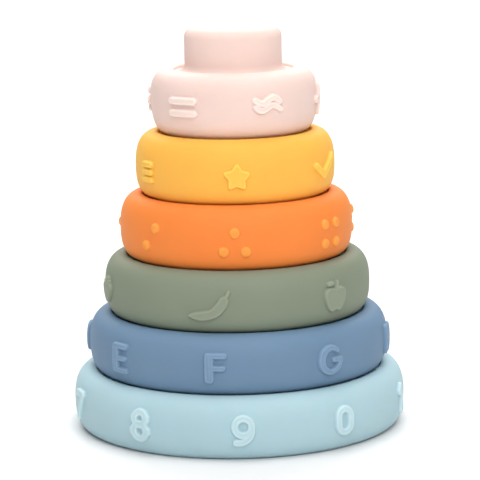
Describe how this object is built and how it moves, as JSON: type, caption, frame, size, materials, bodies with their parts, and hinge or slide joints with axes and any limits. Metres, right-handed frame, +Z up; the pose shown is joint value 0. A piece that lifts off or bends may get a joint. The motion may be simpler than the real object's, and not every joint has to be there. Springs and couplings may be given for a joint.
{
  "type": "stacking ring toy",
  "caption": "Tower of soft rings that narrow upwards, each with a boss that fits the socket under the ring above, raised symbols round the walls and a knob on top.",
  "frame": {"origin": "on the tower's axis, in the plane of the lowest rim that it stands on", "axes": "+Z up along the tower's axis; -Y is the front, where the digit 9 faces; +X to the right of the front"},
  "size_m": [0.125, 0.1276, 0.1502],
  "materials": {
    "pale_blue": "matt silicone",
    "slate_blue": "matt silicone",
    "sage_green": "matt silicone",
    "orange": "matt silicone",
    "amber": "matt silicone",
    "blush_pink": "matt silicone"
  },
  "bodies": {
    "number_ring": {"number_ring": "pale_blue"},
    "letter_ring": {"letter_ring": "slate_blue"},
    "fruit_ring": {"fruit_ring": "sage_green"},
    "dot_ring": {"dot_ring": "orange"},
    "shape_ring": {"shape_ring": "amber"},
    "sign_ring": {"sign_ring": "blush_pink"}
  },
  "joints": [
    {"name": "letter_ring_lift", "type": "slide", "parent": "number_ring", "child": "letter_ring", "axis": [0, 0, 1], "range_m": [0, 0.05]},
    {"name": "fruit_ring_lift", "type": "slide", "parent": "letter_ring", "child": "fruit_ring", "axis": [0, 0, 1], "range_m": [0, 0.05]},
    {"name": "dot_ring_lift", "type": "slide", "parent": "fruit_ring", "child": "dot_ring", "axis": [0, 0, 1], "range_m": [0, 0.05]},
    {"name": "shape_ring_lift", "type": "slide", "parent": "dot_ring", "child": "shape_ring", "axis": [0, 0, 1], "range_m": [0, 0.05]},
    {"name": "sign_ring_lift", "type": "slide", "parent": "shape_ring", "child": "sign_ring", "axis": [0, 0, 1], "range_m": [0, 0.05]}
  ]
}
